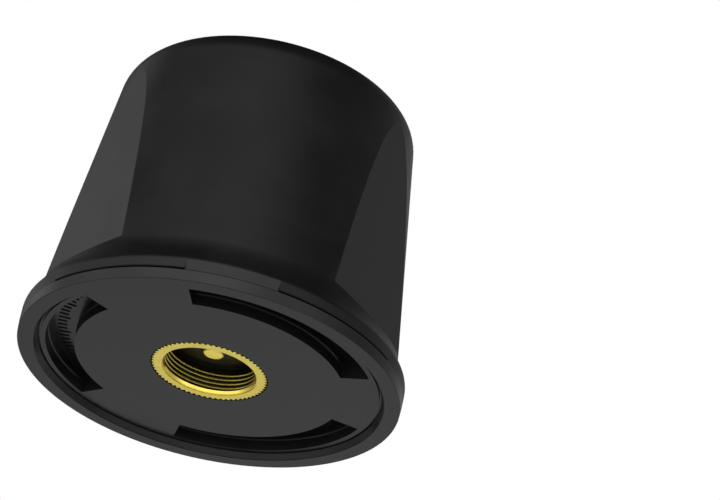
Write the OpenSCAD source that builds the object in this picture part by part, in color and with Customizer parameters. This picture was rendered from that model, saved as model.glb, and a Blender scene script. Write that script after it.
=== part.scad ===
// Roof-mount satellite receiver housing on a threaded coaxial mount.
// Origin on the axis at the foot of the rim, +Z up into the housing, millimetres.
// The -Y side lies between two of the three flats.

/* [Housing] */
// Radius of the housing at the parting line
rim_r = 57; // [54:0.5:60]
// Height from the rim's foot to the top
total_h = 93.5; // [92:0.5:100]
// Radius of the tapered wall carried down to height zero
cone_r0 = 55.07; // [54:0.01:55.4]
// Inward taper of the wall, per millimetre of height
cone_taper = 0.1122; // [0.1:0.0002:0.12]
// Radius of the rounded top edge
top_round = 9; // [6:0.5:10]
// Wall thickness
wall = 2.5; // [2:0.1:3]
// Distance of a flat from the axis, carried down to height zero
flat_d0 = 48.9; // [48.6:0.05:50]
// Inward lean of a flat in degrees
flat_lean = 2.19; // [2:0.01:2.2]
// Height where the sloping ledge meets the foot of a flat
ledge_z = 16.4; // [15:0.1:18]
// Drop of the ledge for each millimetre outwards
ledge_slope = 0.636; // [0.4:0.002:0.7]
// Height of the housing's lower edge at the parting line
seam_z = 3.85; // [3.6:0.05:4]
// Height of the groove along the parting line
groove_h = 0.45; // [0.3:0.05:0.8]
// Depth of the groove along the parting line
groove_deep = 2; // [1:0.1:2]
// Height where the flared skirt leaves the tapered wall
skirt_top = 16.2; // [15:0.1:17]

/* [Pry notches] */
// Number of wedge-shaped notches round the foot of the housing
notch_count = 5; // [3:1:6]
// Angle each notch covers in degrees
notch_angle = 27.3; // [20:0.1:30]
// Direction of the middle of the first notch in degrees
notch_start = -87; // [-90:1:-84]
// Height above the parting line where a notch runs out
notch_h = 2.9; // [2:0.1:3]
// Depth of a notch at the parting line
notch_deep = 0.9; // [0.8:0.1:1.4]

/* [Base plate] */
// Height of the plate's recessed outer face
plate_z = 1.8; // [1.4:0.1:2]
// Thickness of the plate
plate_t = 3.2; // [3:0.1:3.4]
// Radius of the recess inside the rim
recess_r = 51; // [50.6:0.1:51.2]
// Widening of the recess from the plate down to the foot
recess_flare = 1.05; // [0.2:0.05:1.4]
// Width of the narrow groove round the plate at the foot of the recess wall
corner_gap = 0.7; // [0.4:0.05:0.8]
// Radius of the rim's outer lower edge
foot_round = 0.2; // [0.2:0.1:1]
// Draft of the rim's outer wall
rim_draft = 0.2; // [0:0.05:0.4]
// Outer radius of the arc windows
window_out = 48.8; // [48:0.1:49]
// Inner radius of the arc windows
window_in = 40.1; // [39.5:0.1:41]
// Angle an arc window covers in degrees
window_angle = 80; // [70:1:80]
// Depth of the arc pockets from the plate's face to their floor
pocket_deep = 5.7; // [5.2:0.1:6]
// Chamfer round the mouth of the tray where it meets the plate
tray_step = 0.35; // [0.2:0.05:0.6]

/* [Threaded mount] */
// Crest radius of the mount thread
thread_r = 13.6; // [13.5:0.05:13.65]
// Pitch of the mount thread
thread_pitch = 1.411; // [1.4:0.001:1.42]
// Depth of the thread form
thread_deep = 0.76; // [0.6:0.02:0.8]
// Radius of the brass flange
flange_r = 17.2; // [17:0.1:17.4]
// Thickness of the brass flange
flange_t = 3; // [2.8:0.1:3.1]
// Radius of the brass body above the flange
insert_r = 15.8; // [15.7:0.1:16]

/* [Centre contact] */
// Radius of the contact tip
tip_r = 3.1; // [3:0.05:3.15]
// Height of the tip's face at rest
tip_z = 7.6; // [7.6:0.1:8.2]
// Number of turns in the contact spring
spring_turns = 5; // [4:1:5]

/* [Boards and aerial] */
// Height of the receiver board's lower face
board_z = 26; // [25:0.5:27]
// Height of the radio board's lower face
radio_z = 44; // [42:0.5:46]
// Height of the aerial ground plane's lower face
plane_z = 70; // [68:0.5:71]
// Side of the lower patch block
patch_low = 46; // [40:1:48]
// Side of the upper patch block
patch_up = 30; // [26:1:32]

/* [Hidden] */
$fn = 96;
eps = 0.02;
lean = tan(flat_lean);
cone_a = atan(cone_taper);
round_z = total_h - top_round;
round_r = (cone_r0 * cos(cone_a) - top_round - round_z * sin(cone_a)) / cos(cone_a);
tangent_r = round_r + top_round * cos(cone_a);
tangent_z = round_z + top_round * sin(cone_a);
skirt_r = cone_r0 - cone_taper * skirt_top;
flare_r = 17;
flare_x = skirt_r + flare_r * cos(cone_a);
flare_z = skirt_top + flare_r * sin(cone_a);
shoulder_r = 2.2;
shoulder_x = rim_r - shoulder_r;
shoulder_a = acos((flare_x - shoulder_x) / (flare_r + shoulder_r));
shoulder_z = flare_z - (flare_r + shoulder_r) * sin(shoulder_a);
counterbore_r = 51.9;
counterbore_z = 11;
plate_top = plate_z + plate_t;
spigot_r = 51.6;
spigot_in = 49.9;
spigot_top = 9.5;
boss_r = 21;
boss_top = 8;
tray_floor = plate_z + pocket_deep;
tray_skin = 1.5;
tray_top = plate_top + tray_skin;
well_half = 39.6;
tray_screw_r = 32;
post_r = 39.5;
board_t = 1.6;
relief_z = 7.5;
relief_r = 14.7;
insulator_z = 10.2;
insert_top = 15.2;
sleeve_z = 9.4;
sleeve_step = 12;
cap_z = 19;
collar_z = 12.05;
collar_top = 14;
board_top = board_z + board_t;
radio_top = radio_z + board_t;
plane_t = 1.5;
plane_top = plane_z + plane_t;
low_h = 6;
up_h = 5;
metal_t = 0.2;
low_top = plane_top + low_h + metal_t;
up_top = low_top + up_h + metal_t;
coax_x = 22;

// A ring sector: a rectangle from r1 to r2 and z1 to z2, swept over a span centred on mid
module ring_sector(r1, r2, z1, z2, mid, span) {
  rotate([0, 0, mid - span / 2])
    rotate_extrude(angle = span)
      translate([r1, z1])
        square([r2 - r1, z2 - z1]);
}

// Three copies at one third of a turn
module thirds(start) {
  for (i = [0 : 2])
    rotate([0, 0, start + 120 * i])
      children();
}

// Half-space outside a flat moved out by grow, from height low upwards
module beyond_flat(grow, low) {
  translate([flat_d0 + grow, 0, 0])
    rotate([0, -flat_lean, 0])
      translate([0, -70, low])
        cube([40, 140, 140]);
}

// Space cut away by a flat and by the ledge that slopes out and down from its foot
module flat_cut() {
  reach = 12;
  foot = flat_d0 - lean * ledge_z;
  rotate([90, 0, 0])
    translate([0, 0, -70])
      linear_extrude(140)
        polygon([
          [foot, ledge_z],
          [foot + reach, ledge_z - ledge_slope * reach],
          [foot + reach, total_h + 5],
          [flat_d0 - lean * (total_h + 5), total_h + 5]
        ]);
}

// Points on an arc from angle a1 to a2, in steps equal steps
function arc(cx, cy, r, a1, a2, steps) = [
  for (i = [0 : steps])
    let (a = a1 + (a2 - a1) * i / steps)
      [cx + r * cos(a), cy + r * sin(a)]
];

// Half outline of the housing's outside: foot, shoulder, flared skirt, wall, rounded top
module housing_outline() {
  polygon(concat(
    [[0, seam_z], [rim_r - 0.2, seam_z], [rim_r, seam_z + 0.2]],
    arc(shoulder_x, shoulder_z, shoulder_r, 0, shoulder_a, 6),
    arc(flare_x, flare_z, flare_r, 180 + shoulder_a - 2, 180 + cone_a, 10),
    arc(round_r, round_z, top_round, cone_a, 90, 18),
    [[0, total_h]]
  ));
}

// Half outline of the housing's inside above the counterbore
module cavity_outline() {
  inner_r = cone_r0 - wall / cos(cone_a);
  polygon(concat(
    [[0, seam_z - 1], [inner_r - cone_taper * (seam_z - 1), seam_z - 1]],
    arc(round_r, round_z, top_round - wall, cone_a, 90, 12),
    [[0, total_h - wall]]
  ));
}

// Wedge cut by a notch: deepest at the parting line, running out at the wall's face
module notch_outline() {
  slope = notch_deep / notch_h;
  polygon([
    [rim_r - notch_deep - slope, seam_z - 1],
    [rim_r + 2, seam_z - 1],
    [rim_r + 2, seam_z + notch_h + 2 / slope],
    [rim_r, seam_z + notch_h]
  ]);
}

module radome() {
  color([0.12, 0.12, 0.13])
    difference() {
      rotate_extrude($fn = 180)
        housing_outline();
      thirds(90)
        flat_cut();
      difference() {
        rotate_extrude($fn = 180)
          cavity_outline();
        thirds(90)
          beyond_flat(-wall, counterbore_z - 2);
      }
      translate([0, 0, seam_z - 1])
        cylinder(h = counterbore_z - seam_z + 1, r = counterbore_r, $fn = 180);
      for (i = [0 : notch_count - 1])
        rotate([0, 0, notch_start - notch_angle / 2 + i * 360 / notch_count])
          rotate_extrude(angle = notch_angle)
            notch_outline();
    }
}

// Half outline of the base plate without its openings
module base_outline() {
  polygon(concat(
    [
      [recess_r, plate_z],
      [recess_r + recess_flare - 0.1, 0.2],
      [recess_r + recess_flare + 0.1, 0]
    ],
    arc(rim_r - rim_draft - foot_round, foot_round, foot_round, 270, 360, 8),
    [
      [rim_r, seam_z - groove_h - 0.2],
      [rim_r - 0.2, seam_z - groove_h],
      [rim_r - groove_deep, seam_z - groove_h],
      [rim_r - groove_deep, seam_z],
      [recess_r, seam_z]
    ]
  ));
  translate([insert_r + 0.05, plate_z])
    square([recess_r + 0.6 - insert_r, plate_top - plate_z - 0.01]);
  translate([spigot_in, plate_z + 0.5])
    square([spigot_r - spigot_in, spigot_top - plate_z - 0.5]);
  translate([insert_r + 0.05, plate_z])
    square([boss_r - insert_r - 0.05, boss_top - plate_z]);
}

module base_plate() {
  color([0.14, 0.14, 0.15])
    difference() {
      rotate_extrude($fn = 180)
        difference() {
          intersection() {
            base_outline();
            square([rim_r, 40]);
          }
          translate([spigot_r - 1.45, 6])
            square([4, 1.9]);
          translate([recess_r - corner_gap, plate_z - 1])
            square([corner_gap, 1.8]);
        }
      translate([0, 0, plate_z - 1])
        cylinder(h = flange_t + 1.05, r = flange_r + 0.25, $fn = 180);
      thirds(60)
        ring_sector(window_in, window_out, plate_z - 1, plate_top + 1, 0, window_angle);
      thirds(0)
        translate([tray_screw_r, 0, plate_z + 0.9])
          cylinder(h = 6, r = 1.25);
    }
}

module pocket_tray() {
  color([0.09, 0.09, 0.1])
    difference() {
      rotate_extrude($fn = 180)
        polygon([
          [boss_r + 0.3, plate_top],
          [spigot_in - 0.3, plate_top],
          [spigot_in - 0.3, tray_floor + tray_skin],
          [window_in - 1.2, tray_floor + tray_skin],
          [window_in - 1.2, tray_top],
          [boss_r + 0.3, tray_top]
        ]);
      thirds(0)
        ring_sector(window_in - 3, spigot_in + 3, tray_top, tray_floor + tray_skin + 2, 0,
          120 - 2 * well_half - 4);
      thirds(60) {
        ring_sector(window_in + tray_step, window_out - tray_step, plate_top - 1, tray_floor, 0,
          2 * well_half);
        rotate([0, 0, -well_half])
          rotate_extrude(angle = 2 * well_half)
            polygon([
              [window_in, plate_top - 1],
              [window_out, plate_top - 1],
              [window_out, plate_top],
              [window_out - tray_step, plate_top + tray_step],
              [window_in + tray_step, plate_top + tray_step],
              [window_in, plate_top]
            ]);
      }
      thirds(0) {
        translate([tray_screw_r, 0, plate_top - 1])
          cylinder(h = 6, r = 1.6);
        translate([post_r, 0, plate_top - 1])
          cylinder(h = 6, r = 1.5);
      }
    }
}

module base_o_ring() {
  color([0.06, 0.06, 0.06])
    rotate_extrude($fn = 180)
      translate([spigot_r - 0.6, 6.95])
        circle(r = 0.85, $fn = 32);
}

// Pan-head screw with its shank below height zero and a cross recess in the head
module pan_screw(shank_r, shank_l, head_r, head_h) {
  difference() {
    union() {
      translate([0, 0, -shank_l])
        cylinder(h = shank_l + eps, r = shank_r);
      cylinder(h = head_h * 0.55, r = head_r);
      translate([0, 0, head_h * 0.55 - eps])
        cylinder(h = head_h * 0.45 + eps, r1 = head_r, r2 = head_r * 0.72);
    }
    for (a = [0, 90])
      rotate([0, 0, a])
        translate([-head_r * 0.55, -head_r * 0.11, head_h * 0.35])
          cube([head_r * 1.1, head_r * 0.22, head_h]);
  }
}

module tray_screws() {
  color([0.75, 0.75, 0.78])
    thirds(0)
      translate([tray_screw_r, 0, tray_top])
        pan_screw(1.2, 3.6, 2.6, 1.8);
}

// Half outline of the brass insert: flange, body, thread lands, relief and seat
module insert_outline() {
  difference() {
    union() {
      translate([0, plate_z])
        square([flange_r, flange_t]);
      translate([0, plate_z + flange_t - eps])
        square([insert_r, insert_top - plate_z - flange_t + eps]);
    }
    translate([-1, 0])
      square([thread_r + 1, insulator_z]);
    polygon([
      [0, plate_z - 1],
      [thread_r + 0.65, plate_z - 1],
      [thread_r + 0.65, plate_z],
      [thread_r, plate_z + 0.2],
      [0, plate_z + 0.2]
    ]);
    for (i = [0 : 2])
      translate([0, plate_z + 0.97 + i * thread_pitch])
        polygon([
          [thread_r - 1, 0.08],
          [thread_r, 0.08],
          [thread_r + thread_deep, thread_pitch / 2 - 0.06],
          [thread_r + thread_deep, thread_pitch / 2 + 0.06],
          [thread_r, thread_pitch - 0.24],
          [thread_r - 1, thread_pitch - 0.24]
        ]);
    translate([0, relief_z])
      square([relief_r, insulator_z - relief_z]);
    translate([-1, insulator_z])
      square([thread_r + 1.45, insert_top]);
  }
}

module mount_insert() {
  color([0.85, 0.68, 0.22])
    rotate_extrude($fn = 180)
      insert_outline();
}

module insert_washer() {
  color([0.78, 0.78, 0.8])
    translate([0, 0, boss_top])
      difference() {
        cylinder(h = 0.8, r = 20.4);
        translate([0, 0, -1])
          cylinder(h = 3, r = insert_r + 0.2);
      }
}

module insert_nut() {
  color([0.8, 0.64, 0.25])
    translate([0, 0, boss_top + 0.8])
      difference() {
        cylinder(h = 4, r = 20);
        translate([0, 0, -1])
          cylinder(h = 6, r = insert_r);
        for (a = [0 : 60 : 300])
          rotate([0, 0, a])
            translate([18.6, -1.5, -1])
              cube([4, 3, 6]);
      }
}

module contact_insulator() {
  color([0.05, 0.05, 0.05])
    difference() {
      union() {
        translate([0, 0, insulator_z])
          cylinder(h = 3.6, r = thread_r + 0.45);
        translate([0, 0, insulator_z - 0.5])
          cylinder(h = 0.5 + eps, r = 9.4);
      }
      translate([0, 0, insulator_z - 2])
        cylinder(h = 8, r = 4.6);
    }
}

module contact_sleeve() {
  color([0.83, 0.66, 0.25])
    difference() {
      translate([0, 0, sleeve_z])
        cylinder(h = cap_z - sleeve_z, r = 4.6);
      translate([0, 0, sleeve_z - 1])
        cylinder(h = 5, r = tip_r + 0.06);
      translate([0, 0, sleeve_step])
        cylinder(h = 10, r = 3.8);
    }
}

module contact_plunger() {
  color([0.93, 0.76, 0.28])
    union() {
      rotate_extrude()
        polygon([
          [0, tip_z],
          [tip_r - 0.4, tip_z],
          [tip_r - 0.12, tip_z + 0.12],
          [tip_r, tip_z + 0.4],
          [tip_r, collar_z + eps],
          [0, collar_z + eps]
        ]);
      translate([0, 0, collar_z])
        cylinder(h = collar_top - collar_z, r = 3.72);
      translate([0, 0, collar_top - eps])
        cylinder(h = 2.4, r = 1.5);
    }
}

// Point on the wire's surface: turn angle a, section angle b
function wire_point(a, b, coil_r, wire_r, z0, rise) = [
  (coil_r + wire_r * cos(b)) * cos(a),
  (coil_r + wire_r * cos(b)) * sin(a),
  z0 + rise * a / 360 + wire_r * sin(b)
];

module contact_spring() {
  steps = 16 * spring_turns;
  sides = 8;
  wire_r = 0.25;
  low = collar_top + wire_r + 0.02;
  high = cap_z - wire_r - 0.02;
  rise = (high - low) / spring_turns;
  points = [
    for (i = [0 : steps], j = [0 : sides - 1])
      wire_point(i * 22.5, j * 360 / sides, 2.6, wire_r, low, rise)
  ];
  walls = [
    for (i = [0 : steps - 1], j = [0 : sides - 1])
      [i * sides + j, i * sides + (j + 1) % sides,
       (i + 1) * sides + (j + 1) % sides, (i + 1) * sides + j]
  ];
  first_end = [for (j = [sides - 1 : -1 : 0]) j];
  last_end = [for (j = [0 : sides - 1]) steps * sides + j];
  color([0.7, 0.7, 0.72])
    polyhedron(points = points, faces = concat([first_end], walls, [last_end]));
}

module contact_cap() {
  color([0.83, 0.66, 0.25])
    union() {
      translate([0, 0, cap_z])
        cylinder(h = 1.6, r = 4.6);
      translate([0, 0, cap_z + 1.6 - eps])
        cylinder(h = board_top + 1 - cap_z - 1.6, r = 0.7, $fn = 48);
    }
}

// Hexagonal spacer with a stud or a tapped hole above and a tapped hole below
module standoff(z1, z2, bore, stud, tapped) {
  difference() {
    union() {
      translate([0, 0, z1])
        cylinder(h = z2 - z1, r = 3.2, $fn = 6);
      if (stud > 0)
        translate([0, 0, z2 - eps])
          cylinder(h = stud + eps, r = 1.4, $fn = 48);
    }
    if (bore > 0)
      translate([0, 0, z1 - 1])
        cylinder(h = bore + 1, r = 1.45, $fn = 48);
    if (tapped > 0)
      translate([0, 0, z2 - tapped])
        cylinder(h = tapped + 1, r = 1.35, $fn = 48);
  }
}

module lower_standoffs() {
  color([0.82, 0.67, 0.3])
    thirds(0)
      translate([post_r, 0, 0]) {
        standoff(tray_top, board_z, 0, board_t + 3, 0);
        translate([0, 0, plate_top + 0.1])
          cylinder(h = tray_skin, r = 1.4, $fn = 48);
      }
}

module middle_standoffs() {
  color([0.82, 0.67, 0.3])
    thirds(0)
      translate([post_r, 0, 0])
        standoff(board_top, radio_z, 3.6, board_t + 3, 0);
}

module upper_standoffs() {
  color([0.82, 0.67, 0.3])
    thirds(0)
      translate([post_r, 0, 0])
        standoff(radio_top, plane_z, 3.6, 0, 6);
}

// Round board with three corner trims for the flats, fixing holes and a coax hole
module round_board(r, z, contact_hole, coax_hole) {
  difference() {
    translate([0, 0, z])
      cylinder(h = board_t, r = r, $fn = 180);
    thirds(90)
      translate([r - 2.4, -30, z - 1])
        cube([10, 60, 4]);
    thirds(0)
      translate([post_r, 0, z - 1])
        cylinder(h = 4, r = 1.6, $fn = 48);
    if (contact_hole > 0)
      translate([0, 0, z - 1])
        cylinder(h = 4, r = contact_hole, $fn = 48);
    if (coax_hole > 0)
      translate([coax_x, 0, z - 1])
        cylinder(h = 4, r = coax_hole, $fn = 48);
  }
}

module receiver_board() {
  color([0.05, 0.3, 0.16])
    round_board(45.4, board_z, 0.85, 0);
}

module radio_board() {
  color([0.05, 0.3, 0.16])
    round_board(45.2, radio_z, 0, 3.4);
}

// Open-bottomed metal can
module shield_can(x, y, z, w, d, h) {
  translate([x - w / 2, y - d / 2, z])
    difference() {
      cube([w, d, h]);
      translate([0.3, 0.3, -1])
        cube([w - 0.6, d - 0.6, h + 0.7]);
    }
}

module gnss_module() {
  color([0.78, 0.79, 0.8])
    union() {
      translate([-8.5, 11, board_top])
        cube([17, 22, 0.8]);
      translate([-8, 11.5, board_top + 0.8 - eps])
        cube([16, 21, 1.8]);
    }
}

module receiver_shield() {
  color([0.74, 0.75, 0.77])
    shield_can(0, -20, board_top, 26, 20, 3.5);
}

// Flat chips at the listed places: x, y, width, depth, height
module chips(places, z) {
  for (p = places)
    translate([p[0] - p[2] / 2, p[1] - p[3] / 2, z])
      cube([p[2], p[3], p[4]]);
}

module receiver_chips() {
  color([0.08, 0.08, 0.08])
    chips([
      [-7, -18, 7, 7, 1],
      [5, -22, 5, 5, 0.9],
      [26, 16, 7, 7, 1],
      [30, 26, 4, 5, 1.4],
      [-20, 22, 5, 6, 1.5],
      [-24, -26, 6, 6, 1]
    ], board_top);
}

module receiver_passives() {
  color([0.75, 0.68, 0.55])
    chips(concat(
      [for (i = [0 : 5]) [14.5 + 2.4 * i, 34 - 1.2 * i, 1, 1.8, 0.9]],
      [for (i = [0 : 4]) [-30 + 2.4 * i, 30, 1, 1.8, 0.9]],
      [for (i = [0 : 3]) [18 + 2.4 * i, -30, 1, 1.8, 0.9]],
      [[-30, 16, 4.3, 4.3, 3.4], [20, -36.5, 4.3, 4.3, 3.4]]
    ), board_top);
}

module backup_cell() {
  color([0.8, 0.8, 0.82])
    translate([31, -14, board_top + 0.5])
      cylinder(h = 2.6, r = 6.2);
}

module cell_holder() {
  color([0.88, 0.88, 0.84])
    translate([31, -14, board_top])
      difference() {
        translate([-7.6, -7.6, 0])
          cube([15.2, 15.2, 2.4]);
        translate([0, 0, 0.5])
          cylinder(h = 4, r = 6.4);
      }
}

module board_link() {
  color([0.07, 0.07, 0.08])
    translate([-30, -11, board_top])
      cube([5, 22, radio_z - board_top]);
}

module radio_shield() {
  color([0.74, 0.75, 0.77])
    shield_can(-4, 8, radio_top, 34, 26, 5);
}

module radio_chips() {
  color([0.08, 0.08, 0.08])
    chips([
      [0, -20, 9, 9, 1],
      [-18, -18, 5, 6, 1.5],
      [20, -20, 5, 5, 0.9],
      [30, 14, 4, 5, 1.4]
    ], radio_top);
}

module radio_passives() {
  color([0.75, 0.68, 0.55])
    chips(concat(
      [for (i = [0 : 6]) [-12 + 2.4 * i, -30, 1, 1.8, 0.9]],
      [for (i = [0 : 4]) [-34, -8 + 2.4 * i, 1.8, 1, 0.9]],
      [[28, 26, 5, 5, 4]]
    ), radio_top);
}

module ground_plane() {
  color([0.8, 0.81, 0.83])
    difference() {
      translate([0, 0, plane_z])
        cylinder(h = plane_t, r = 44.2, $fn = 180);
      thirds(90)
        translate([42.6, -30, plane_z - 1])
          cube([10, 60, 4]);
      thirds(0)
        translate([post_r, 0, plane_z - 1])
          cylinder(h = 4, r = 1.6, $fn = 48);
      for (p = [[4, 0], [0, 4]])
        translate([p[0], p[1], plane_z - 1])
          cylinder(h = 4, r = 1.5, $fn = 48);
    }
}

module plane_screws() {
  color([0.75, 0.75, 0.78])
    thirds(0)
      translate([post_r, 0, plane_top])
        pan_screw(1.3, 5.5, 2.6, 1.8);
}

// Square block with two holes for the feed pins
module pin_block(side, z, h, hole) {
  difference() {
    translate([-side / 2, -side / 2, z])
      cube([side, side, h]);
    for (p = [[4, 0], [0, 4]])
      translate([p[0], p[1], z - 1])
        cylinder(h = h + 2, r = hole, $fn = 48);
  }
}

module lna_board() {
  color([0.05, 0.3, 0.16])
    pin_block(52, plane_z - 1.05, 1, 0.75);
}

module lna_shield() {
  color([0.74, 0.75, 0.77])
    translate([-14, -14, plane_z - 1.05 - 4])
      difference() {
        cube([28, 28, 4]);
        translate([0.3, 0.3, 0.3])
          cube([27.4, 27.4, 5]);
      }
}

module aerial_coax() {
  color([0.25, 0.18, 0.12])
    translate([coax_x, 0, board_top + 3])
      cylinder(h = plane_z - 1.05 - 3 - board_top - 3, r = 1.1, $fn = 48);
}

module coax_plugs() {
  color([0.85, 0.7, 0.3]) {
    translate([coax_x, 0, board_top])
      cylinder(h = 3, r = 2.2, $fn = 64);
    translate([coax_x, 0, plane_z - 1.05 - 3])
      cylinder(h = 3, r = 2.2, $fn = 64);
  }
}

module lower_patch() {
  color([0.86, 0.82, 0.7])
    pin_block(patch_low, plane_top, low_h, 0.75);
}

module lower_patch_plate() {
  color([0.82, 0.62, 0.42])
    pin_block(patch_low - 8, plane_top + low_h, metal_t, 1.1);
}

module upper_patch() {
  color([0.86, 0.82, 0.7])
    pin_block(patch_up, low_top, up_h, 0.75);
}

module upper_patch_plate() {
  color([0.82, 0.62, 0.42])
    pin_block(patch_up - 7, low_top + up_h, metal_t, 0.62);
}

module feed_pins() {
  color([0.85, 0.7, 0.3])
    for (p = [[4, 0], [0, 4]])
      translate([p[0], p[1], plane_z - 2.2])
        union() {
          cylinder(h = up_top + 0.02 - plane_z + 2.2, r = 0.6, $fn = 48);
          translate([0, 0, up_top - plane_z + 2.2])
            cylinder(h = 0.3, r = 1.1, $fn = 48);
        }
}

module foam_pad() {
  color([0.25, 0.25, 0.27])
    translate([0, 0, up_top + 0.4])
      cylinder(h = total_h - wall - up_top - 0.5, r = 22);
}

radome();
base_plate();
pocket_tray();
base_o_ring();
tray_screws();
mount_insert();
insert_washer();
insert_nut();
contact_insulator();
contact_sleeve();
contact_plunger();
contact_spring();
contact_cap();
lower_standoffs();
receiver_board();
gnss_module();
receiver_shield();
receiver_chips();
receiver_passives();
backup_cell();
cell_holder();
board_link();
middle_standoffs();
radio_board();
radio_shield();
radio_chips();
radio_passives();
upper_standoffs();
ground_plane();
plane_screws();
lna_board();
lna_shield();
aerial_coax();
coax_plugs();
lower_patch();
lower_patch_plate();
upper_patch();
upper_patch_plate();
feed_pins();
foam_pad();
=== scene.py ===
import math

import bmesh
import bpy
from mathutils import Matrix, Vector


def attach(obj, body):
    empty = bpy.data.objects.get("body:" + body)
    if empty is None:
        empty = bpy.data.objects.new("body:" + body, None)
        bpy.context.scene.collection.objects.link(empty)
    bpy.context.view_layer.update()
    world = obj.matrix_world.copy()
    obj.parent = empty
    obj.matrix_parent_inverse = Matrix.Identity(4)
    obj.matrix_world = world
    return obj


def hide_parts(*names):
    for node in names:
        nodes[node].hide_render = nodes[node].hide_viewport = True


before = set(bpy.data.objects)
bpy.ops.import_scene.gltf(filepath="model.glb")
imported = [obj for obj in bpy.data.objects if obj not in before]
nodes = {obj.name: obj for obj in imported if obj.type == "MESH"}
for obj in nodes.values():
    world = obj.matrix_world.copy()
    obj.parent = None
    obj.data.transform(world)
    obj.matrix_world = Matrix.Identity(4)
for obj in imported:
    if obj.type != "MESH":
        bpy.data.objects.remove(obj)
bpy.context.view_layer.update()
scene = bpy.context.scene


# ---- node helpers -------------------------------------------------------------------------------

class Mat:
    """A Principled material with its own object-space coordinates."""

    def __init__(self, name):
        self.m = bpy.data.materials.new(name)
        self.m.use_nodes = True
        self.t = self.m.node_tree
        self.b = self.t.nodes["Principled BSDF"]
        self.co = self.t.nodes.new("ShaderNodeTexCoord").outputs["Object"]

    def node(self, kind, **props):
        n = self.t.nodes.new(kind)
        for k, v in props.items():
            setattr(n, k, v)
        return n

    def link(self, a, b):
        self.t.links.new(a, b)

    def noise(self, scale, detail=3.0, rough=0.55, stretch=None):
        n = self.node("ShaderNodeTexNoise")
        n.inputs["Scale"].default_value = scale
        n.inputs["Detail"].default_value = detail
        n.inputs["Roughness"].default_value = rough
        co = self.co
        if stretch:
            mp = self.node("ShaderNodeMapping")
            mp.inputs["Scale"].default_value = stretch
            self.link(co, mp.inputs["Vector"])
            co = mp.outputs["Vector"]
        self.link(co, n.inputs["Vector"])
        return n.outputs["Fac"]

    def cells(self, scale, feature="F1"):
        n = self.node("ShaderNodeTexVoronoi", feature=feature)
        n.inputs["Scale"].default_value = scale
        self.link(self.co, n.inputs["Vector"])
        return n.outputs["Distance"]

    def ramp(self, src, stops):
        r = self.node("ShaderNodeValToRGB")
        e = r.color_ramp.elements
        while len(e) < len(stops):
            e.new(0.5)
        for el, (p, c) in zip(e, stops):
            el.position = p
            el.color = (*c, 1) if len(c) == 3 else c
        self.link(src, r.inputs["Fac"])
        return r.outputs["Color"]

    def span(self, src, lo, hi, a=0.0, b=1.0):
        r = self.node("ShaderNodeMapRange")
        r.inputs["From Min"].default_value = a
        r.inputs["From Max"].default_value = b
        r.inputs["To Min"].default_value = lo
        r.inputs["To Max"].default_value = hi
        self.link(src, r.inputs["Value"])
        return r.outputs["Result"]

    def bump(self, src, strength, dist, normal=None):
        n = self.node("ShaderNodeBump")
        n.inputs["Strength"].default_value = strength
        n.inputs["Distance"].default_value = dist
        self.link(src, n.inputs["Height"])
        if normal is not None:
            self.link(normal, n.inputs["Normal"])
        self.link(n.outputs["Normal"], self.b.inputs["Normal"])
        return n.outputs["Normal"]


def plastic(name, dark, light, rough, spec=0.2, grain=0.25, grain_scale=2200.0, cloud=60.0):
    """Moulded plastic: slow colour and gloss drift over a fine spark-eroded grain."""
    k = Mat(name)
    slow = k.noise(cloud, 2.0)
    fine = k.noise(grain_scale, 2.0, 0.6)
    k.link(k.ramp(slow, [(0.3, dark), (0.7, light)]), k.b.inputs["Base Color"])
    k.link(k.span(slow, rough - 0.03, rough + 0.04, 0.3, 0.7), k.b.inputs["Roughness"])
    k.b.inputs["Specular IOR Level"].default_value = spec
    k.bump(fine, grain, 0.00004)
    return k.m


def metal(name, dark, light, rough, grain=0.2, grain_scale=900.0, stretch=None):
    """Machined or plated metal: tone drift, gloss drift and faint tool marks."""
    k = Mat(name)
    slow = k.noise(140.0, 3.0)
    fine = k.noise(grain_scale, 4.0, 0.6, stretch)
    k.link(k.ramp(slow, [(0.3, dark), (0.7, light)]), k.b.inputs["Base Color"])
    k.b.inputs["Metallic"].default_value = 1.0
    k.link(k.span(fine, rough - 0.06, rough + 0.08, 0.3, 0.7), k.b.inputs["Roughness"])
    k.bump(fine, grain, 0.00003)
    return k.m


BRASS_LOW, BRASS_HIGH = (0.78, 0.64, 0.12), (0.86, 0.71, 0.15)

shell = plastic("shell_plastic", (0.005, 0.005, 0.0053), (0.007, 0.007, 0.0074), 0.30)
plate = plastic("plate_plastic", (0.007, 0.007, 0.0073), (0.009, 0.009, 0.0094), 0.22)
inner_plastic = plastic("tray_plastic", (0.007, 0.007, 0.0073), (0.009, 0.009, 0.0094), 0.22)
insulator = plastic("insulator_plastic", (0.004, 0.004, 0.005), (0.006, 0.006, 0.007), 0.30, 0.5)
link_plastic = plastic("link_plastic", (0.012, 0.012, 0.013), (0.02, 0.02, 0.022), 0.5, cloud=400.0)
holder = plastic("holder_plastic", (0.72, 0.72, 0.66), (0.8, 0.8, 0.74), 0.45, cloud=300.0)
rubber = plastic("seal_rubber", (0.010, 0.010, 0.010), (0.018, 0.018, 0.018), 0.7, 0.35, 0.6, 1500.0)
brass = metal("turned_brass", BRASS_LOW, BRASS_HIGH, 0.32)
contact = metal("gold_contact", (1.0, 0.82, 0.15), (1.0, 0.87, 0.20), 0.34)
gold = metal("gold_plating", (0.86, 0.62, 0.22), (0.95, 0.71, 0.29), 0.26)
blackened = metal("blackened_brass", (0.010, 0.009, 0.007), (0.022, 0.018, 0.013), 0.42)
steel = metal("zinc_steel", (0.50, 0.50, 0.52), (0.62, 0.62, 0.64), 0.34)
spring_steel = metal("spring_steel", (0.42, 0.42, 0.44), (0.55, 0.55, 0.57), 0.28, 0.35, 500.0,
                     (1, 1, 0.15))
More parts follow.
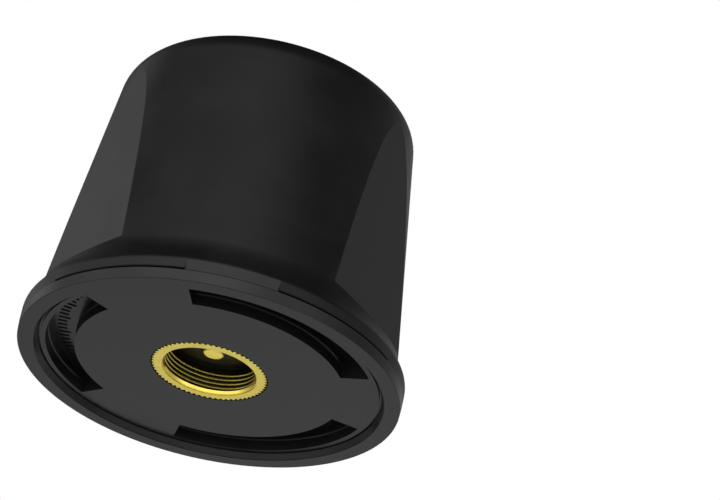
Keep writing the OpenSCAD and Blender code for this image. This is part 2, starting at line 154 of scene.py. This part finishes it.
tin = metal("tinned_can", (0.60, 0.61, 0.62), (0.72, 0.73, 0.74), 0.38, 0.3, 500.0, (1, 0.1, 1))
aluminium = metal("rolled_aluminium", (0.62, 0.63, 0.65), (0.74, 0.75, 0.77), 0.36, 0.35, 700.0,
                  (0.06, 1, 1))
silver = metal("silver_plating", (0.72, 0.68, 0.60), (0.85, 0.82, 0.74), 0.34, 0.3, 700.0)


# Brass insert, in millimetres
MM = 0.001
STEPS = 520
TEETH = 65
KNURL_TIP_R, KNURL_ROOT_R = 17.2, 16.45
BODY_R = 15.8
CREST_R = 13.6
ROOT_R = 14.36
RELIEF_R = 14.7
FACE_Z = 1.8
MOUTH_R, MOUTH_STEP_Z, LEAD_IN_R = 14.3, 2.1, 14.0
THREAD_LOW_Z, THREAD_HIGH_Z = 2.9, 8.7
PITCH = 1.411
CREST_Z = 3.58
# Radius just past the thread crest where the painted shade starts
THREAD_SHADE_R = CREST_R + 0.1


def threaded_brass_painted_shade():
    """Brass, bright where it was turned, with painted shade making it dark down in the thread."""
    k = Mat("threaded_brass_painted_shade")
    axes = k.node("ShaderNodeSeparateXYZ")
    k.link(k.co, axes.inputs[0])
    flat = k.node("ShaderNodeCombineXYZ")
    k.link(axes.outputs["X"], flat.inputs["X"])
    k.link(axes.outputs["Y"], flat.inputs["Y"])
    radius = k.node("ShaderNodeVectorMath", operation="LENGTH")
    k.link(flat.outputs[0], radius.inputs[0])
    # Painted shade: the colour goes dark past the crest radius and behind the mouth, standing in for the
    # shade in the thread
    deep = k.span(radius.outputs["Value"], 0.0, 1.0, THREAD_SHADE_R * MM, (THREAD_SHADE_R + 0.14) * MM)
    behind = k.span(axes.outputs["Z"], 0.0, 1.0, THREAD_LOW_Z * MM, (THREAD_LOW_Z + 0.1) * MM)
    painted_shade_mask = k.node("ShaderNodeMath", operation="MULTIPLY")
    k.link(deep, painted_shade_mask.inputs[0])
    k.link(behind, painted_shade_mask.inputs[1])
    slow = k.noise(140.0, 3.0)
    fine = k.noise(900.0, 4.0, 0.6)
    mix = k.node("ShaderNodeMix", data_type="RGBA")
    k.link(painted_shade_mask.outputs[0], mix.inputs["Factor"])
    # Bright turned brass, then the dark brass colour that is the painted shade
    k.link(k.ramp(slow, [(0.3, BRASS_LOW), (0.7, BRASS_HIGH)]), mix.inputs[6])
    k.link(k.ramp(fine, [(0.3, (0.02, 0.016, 0.006)), (0.7, (0.05, 0.04, 0.015))]), mix.inputs[7])
    k.link(mix.outputs[2], k.b.inputs["Base Color"])
    k.b.inputs["Metallic"].default_value = 1.0
    k.link(k.span(fine, 0.26, 0.40, 0.3, 0.7), k.b.inputs["Roughness"])
    k.bump(fine, 0.2, 0.00003)
    return k.m


def laminate():
    """Solder-masked board: tracks run along x or y in patches, over a woven ground."""
    k = Mat("board_laminate")
    bands = []
    for axis in ("X", "Y"):
        w = k.node("ShaderNodeTexWave", wave_type="BANDS", bands_direction=axis)
        w.inputs["Scale"].default_value = 190.0
        w.inputs["Distortion"].default_value = 1.5
        k.link(k.co, w.inputs["Vector"])
        bands.append(k.ramp(w.outputs["Fac"], [(0.62, (0, 0, 0)), (0.68, (1, 1, 1))]))
    patch = k.ramp(k.cells(70.0), [(0.45, (0, 0, 0)), (0.5, (1, 1, 1))])
    tracks = k.node("ShaderNodeMix", data_type="RGBA")
    k.link(patch, tracks.inputs[0])
    k.link(bands[0], tracks.inputs[6])
    k.link(bands[1], tracks.inputs[7])
    col = k.ramp(tracks.outputs[2], [(0.0, (0.006, 0.055, 0.026)), (1.0, (0.018, 0.13, 0.055))])
    k.link(col, k.b.inputs["Base Color"])
    k.link(k.span(k.noise(300.0), 0.24, 0.36, 0.3, 0.7), k.b.inputs["Roughness"])
    k.bump(tracks.outputs[2], 0.5, 0.00003)
    return k.m


def chip_epoxy():
    """Moulded chip body: dark speckled epoxy with a sandy grain."""
    k = Mat("chip_epoxy")
    col = k.ramp(k.noise(2600.0, 2.0), [(0.35, (0.010, 0.010, 0.011)), (0.7, (0.030, 0.030, 0.032))])
    k.link(col, k.b.inputs["Base Color"])
    k.link(k.span(k.noise(900.0), 0.42, 0.6, 0.3, 0.7), k.b.inputs["Roughness"])
    k.bump(k.noise(3000.0), 0.5, 0.00003)
    return k.m


def passive_body():
    """Small parts: each one takes its own tone from tan ceramic to grey ferrite."""
    k = Mat("passive_body")
    v = k.node("ShaderNodeTexVoronoi")
    v.inputs["Scale"].default_value = 300.0
    k.link(k.co, v.inputs["Vector"])
    tones = [(0.2, (0.10, 0.08, 0.06)), (0.5, (0.42, 0.30, 0.17)), (0.8, (0.55, 0.53, 0.50))]
    col = k.ramp(v.outputs["Color"], tones)
    k.link(col, k.b.inputs["Base Color"])
    k.link(k.span(k.noise(1200.0), 0.35, 0.55, 0.3, 0.7), k.b.inputs["Roughness"])
    k.bump(k.noise(2500.0), 0.3, 0.00003)
    return k.m


def ceramic():
    """Fired patch block: warm off-white with fine specks and a slightly rough skin."""
    k = Mat("patch_ceramic")
    speck = k.ramp(k.cells(900.0), [(0.05, (0.50, 0.44, 0.33)), (0.16, (0.74, 0.69, 0.56))])
    tint = k.node("ShaderNodeMix", data_type="RGBA", blend_type="MULTIPLY")
    tint.inputs[0].default_value = 0.6
    k.link(speck, tint.inputs[6])
    k.link(k.ramp(k.noise(90.0), [(0.3, (0.86, 0.84, 0.80)), (0.7, (1, 1, 1))]), tint.inputs[7])
    k.link(tint.outputs[2], k.b.inputs["Base Color"])
    k.link(k.span(k.noise(500.0), 0.5, 0.68, 0.3, 0.7), k.b.inputs["Roughness"])
    k.bump(k.noise(1800.0), 0.5, 0.00004)
    return k.m


def foam():
    """Open-cell foam: lighter struts, with painted shade making the pores between them dark."""
    k = Mat("foam_cells")
    pore = k.cells(850.0, "DISTANCE_TO_EDGE")
    # Painted shade: the colour goes dark toward the middle of each cell
    col = k.ramp(pore, [(0.02, (0.10, 0.10, 0.11)), (0.25, (0.025, 0.025, 0.03))])
    k.link(col, k.b.inputs["Base Color"])
    k.link(k.span(pore, 0.9, 0.75, 0.0, 0.3), k.b.inputs["Roughness"])
    k.bump(pore, 0.9, 0.0004)
    return k.m


def coax_jacket():
    """Coax lead: brown sheath with the braid's pattern pressing through."""
    k = Mat("coax_jacket")
    w = k.node("ShaderNodeTexWave", wave_type="BANDS", bands_direction="DIAGONAL")
    w.inputs["Scale"].default_value = 500.0
    k.link(k.co, w.inputs["Vector"])
    col = k.ramp(k.noise(400.0), [(0.3, (0.10, 0.055, 0.03)), (0.7, (0.15, 0.085, 0.045))])
    k.link(col, k.b.inputs["Base Color"])
    k.link(k.span(w.outputs["Fac"], 0.38, 0.5), k.b.inputs["Roughness"])
    k.bump(w.outputs["Fac"], 0.4, 0.00006)
    return k.m


LOOK = {
    shell: ["radome"],
    plate: ["base_plate"],
    inner_plastic: ["pocket_tray"],
    insulator: ["contact_insulator"],
    rubber: ["base_o_ring"],
    brass: ["mount_insert", "insert_nut", "lower_standoffs", "middle_standoffs", "upper_standoffs"],
    contact: ["contact_plunger"],
    gold: ["coax_plugs", "feed_pins"],
    blackened: ["contact_sleeve", "contact_cap"],
    steel: ["tray_screws", "insert_washer", "plane_screws", "backup_cell"],
    spring_steel: ["contact_spring"],
    laminate(): ["receiver_board", "radio_board", "lna_board"],
    tin: ["gnss_module", "receiver_shield", "radio_shield", "lna_shield"],
    chip_epoxy(): ["receiver_chips", "radio_chips"],
    passive_body(): ["receiver_passives", "radio_passives"],
    holder: ["cell_holder"],
    link_plastic: ["board_link"],
    aluminium: ["ground_plane"],
    ceramic(): ["lower_patch", "upper_patch"],
    silver: ["lower_patch_plate", "upper_patch_plate"],
    foam(): ["foam_pad"],
    coax_jacket(): ["aerial_coax"],
}
for material, names in LOOK.items():
    for name in names:
        nodes[name].data.materials.clear()
        nodes[name].data.materials.append(material)


# ---- brass insert -------------------------------------------------------------------------------

def knurl(a):
    """Radius of the knurled rim at angle a."""
    middle, half = (KNURL_TIP_R + KNURL_ROOT_R) / 2, (KNURL_TIP_R - KNURL_ROOT_R) / 2
    return middle + half * math.cos(TEETH * a)


def insert_rings():
    """Rings of (radius, height) as functions of the angle, from the rear edge round to the bore."""
    rows = []

    def plain(r, z):
        rows.append(lambda a: (r, z))

    def toothed(z, inset=0.0):
        rows.append(lambda a: (knurl(a) - inset, z))

    plain(14.05, 15.2)
    plain(BODY_R - 0.15, 15.2)
    plain(BODY_R, 15.05)
    plain(BODY_R, 4.8)
    toothed(4.8, 0.12)
    toothed(4.68)
    toothed(1.9)
    toothed(FACE_Z, 0.1)
    plain(16.2, FACE_Z)
    plain(MOUTH_R, FACE_Z)
    plain(MOUTH_R, MOUTH_STEP_Z)
    plain(LEAD_IN_R, MOUTH_STEP_Z)
    plain(CREST_R, THREAD_LOW_Z)

    # The thread: its crest rises one pitch a turn, right-handed, and both ends are cut square
    def turn(step, radius):
        def row(a):
            z = CREST_Z + PITCH * (a / math.tau + step)
            if z < THREAD_LOW_Z:
                return CREST_R, THREAD_LOW_Z
            return (radius, z) if z < THREAD_HIGH_Z else (RELIEF_R, THREAD_HIGH_Z)
        return row

    for n in range(-3, 5):
        for step, radius in ((-0.12, CREST_R + 0.06), (-0.07, CREST_R), (0.07, CREST_R),
                             (0.12, CREST_R + 0.06), (0.44, ROOT_R - 0.03), (0.5, ROOT_R),
                             (0.56, ROOT_R - 0.03)):
            rows.append(turn(n + step, radius))
    plain(RELIEF_R, 8.8)
    plain(RELIEF_R, 10.2)
    plain(14.05, 10.2)
    return rows


def ring_mesh(name, rows, material, steps=STEPS):
    """Closed skin through rings of points; the last ring joins the first."""
    verts, faces = [], []
    for row in rows:
        for i in range(steps):
            a = math.tau * i / steps
            r, z = row(a)
            verts.append((r * MM * math.cos(a), r * MM * math.sin(a), z * MM))
    count = len(rows)
    for j in range(count):
        k = (j + 1) % count
        for i in range(steps):
            n = (i + 1) % steps
            faces.append((j * steps + i, j * steps + n, k * steps + n, k * steps + i))
    me = bpy.data.meshes.new(name)
    me.from_pydata(verts, [], faces)
    bm = bmesh.new()
    bm.from_mesh(me)
    bmesh.ops.remove_doubles(bm, verts=bm.verts, dist=2e-7)
    bmesh.ops.recalc_face_normals(bm, faces=bm.faces)
    for f in bm.faces:
        f.smooth = True
    for e in bm.edges:
        if len(e.link_faces) == 2 and e.calc_face_angle(0) > math.radians(28):
            e.smooth = False
    bm.to_mesh(me)
    bm.free()
    obj = bpy.data.objects.new(name, me)
    scene.collection.objects.link(obj)
    me.materials.append(material)
    return obj


insert = ring_mesh("threaded_insert", insert_rings(), threaded_brass_painted_shade())
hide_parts("mount_insert")
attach(insert, "housing")


# ---- ticks on the floor of one pocket -----------------------------------------------------------

def tick_marks():
    """Plain raised bars, moulded on the floors of two pockets: direction, inner and outer radius."""
    bars = [(150 + 2.9 * i, 42.7 if i % 4 == 0 else 43.5, 46.3) for i in range(21)]
    bars += [(47 + 2.2 * i, 40.9, 42.6) for i in range(6)]
    floor_z, top_z, half = 7.5, 7.2, 0.26
    bm = bmesh.new()
    for direction, inner, outer in bars:
        mid = math.radians(direction)
        ring = []
        for z, tuck in ((floor_z + 0.05, 0.0), (top_z, 0.08)):
            for r, side in ((inner + tuck, -1), (outer - tuck, -1), (outer - tuck, 1), (inner + tuck, 1)):
                w = side * (half - tuck)
                x = r * math.cos(mid) - w * math.sin(mid)
                y = r * math.sin(mid) + w * math.cos(mid)
                ring.append(bm.verts.new((x * MM, y * MM, z * MM)))
        low, top = ring[:4], ring[4:]
        bm.faces.new(low)
        bm.faces.new(top[::-1])
        for j in range(4):
            bm.faces.new((low[j], top[j], top[(j + 1) % 4], low[(j + 1) % 4]))
    bmesh.ops.recalc_face_normals(bm, faces=bm.faces)
    me = bpy.data.meshes.new("pocket_ticks")
    bm.to_mesh(me)
    bm.free()
    obj = bpy.data.objects.new("pocket_ticks", me)
    scene.collection.objects.link(obj)
    me.materials.append(inner_plastic)
    return obj


ticks = tick_marks()
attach(ticks, "housing")


# ---- camera -------------------------------------------------------------------------------------

cam = bpy.data.objects.new("camera", bpy.data.cameras.new("camera"))
scene.collection.objects.link(cam)
# Place, aim, roll and lens were found by a fitting program outside this script
cam.location = (0.0394052, -0.7919127, -0.3888672)
aim = Vector((0.0354525, 0.0000763, 0.0519825))
look = (aim - cam.location).to_track_quat("-Z", "Y").to_matrix()
cam.rotation_euler = (look @ Matrix.Rotation(math.radians(12.126), 3, "Z")).to_euler()
cam.data.sensor_width = 36.0
cam.data.lens = 151.63
cam.data.clip_start = 0.01
cam.data.clip_end = 50.0
scene.camera = cam

# ---- light and floor ----------------------------------------------------------------------------

world = bpy.data.worlds.new("studio")
scene.world = world
world.use_nodes = True
wt = world.node_tree


def wnode(kind, **props):
    n = wt.nodes.new(kind)
    for k, v in props.items():
        setattr(n, k, v)
    return n


# Soft boxes far away: compass direction and height in degrees, how tight, how bright.
# A fitting program outside this script chose them, and five were then made slightly brighter
SOFT_BOXES = [
    (-115, -25, 1, 1.38),
    (45, -25, 1, 0.57),
    (-40, 0, 16, 3.2),
    (-90, 10, 10, 2.2),
    (-165, 5, 20, 2.1),
    (-130, 10, 21, 1.75),
    (150, 15, 10, 0.84),
    (95, -50, 20, 1.3),
]
direction = wnode("ShaderNodeTexCoord").outputs["Generated"]
total = None
for azimuth, height, tight, bright in SOFT_BOXES:
    a, h = math.radians(azimuth), math.radians(height)
    dot = wnode("ShaderNodeVectorMath", operation="DOT_PRODUCT")
    dot.inputs[1].default_value = (math.cos(h) * math.cos(a), math.cos(h) * math.sin(a), math.sin(h))
    wt.links.new(direction, dot.inputs[0])
    front = wnode("ShaderNodeMath", operation="MAXIMUM")
    front.inputs[1].default_value = 0.0
    wt.links.new(dot.outputs["Value"], front.inputs[0])
    lobe = wnode("ShaderNodeMath", operation="POWER")
    lobe.inputs[1].default_value = tight
    wt.links.new(front.outputs[0], lobe.inputs[0])
    add = wnode("ShaderNodeMath", operation="MULTIPLY_ADD")
    add.inputs[1].default_value = bright
    add.inputs[2].default_value = 0.0
    wt.links.new(lobe.outputs[0], add.inputs[0])
    if total is not None:
        wt.links.new(total, add.inputs[2])
    total = add.outputs[0]
bg = wt.nodes["Background"]
bg.inputs["Color"].default_value = (1, 1, 1, 1)
wt.links.new(total, bg.inputs["Strength"])
seen = wnode("ShaderNodeBackground")
seen.inputs["Color"].default_value = (1, 1, 1, 1)
seen.inputs["Strength"].default_value = 1.0
path = wnode("ShaderNodeLightPath")
mix = wnode("ShaderNodeMixShader")
wt.links.new(path.outputs["Is Camera Ray"], mix.inputs["Fac"])
wt.links.new(bg.outputs["Background"], mix.inputs[1])
wt.links.new(seen.outputs["Background"], mix.inputs[2])
wt.links.new(mix.outputs["Shader"], wt.nodes["World Output"].inputs["Surface"])

FLOOR_HALF, FLOOR_Z = 1.5, -1.5
k = Mat("studio_floor")
pale = k.ramp(k.noise(1.5, 2.0), [(0.3, (0.80, 0.80, 0.80)), (0.7, (0.84, 0.84, 0.84))])
k.link(pale, k.b.inputs["Base Color"])
k.link(k.span(k.noise(30.0), 0.82, 0.92, 0.3, 0.7), k.b.inputs["Roughness"])
corners = [(x * FLOOR_HALF, y * FLOOR_HALF, FLOOR_Z) for x, y in ((-1, -1), (1, -1), (1, 1), (-1, 1))]
me = bpy.data.meshes.new("studio_floor")
me.from_pydata(corners, [], [(0, 1, 2, 3)])
me.materials.append(k.m)
floor = bpy.data.objects.new("studio_floor", me)
scene.collection.objects.link(floor)

scene.view_settings.view_transform = "Standard"
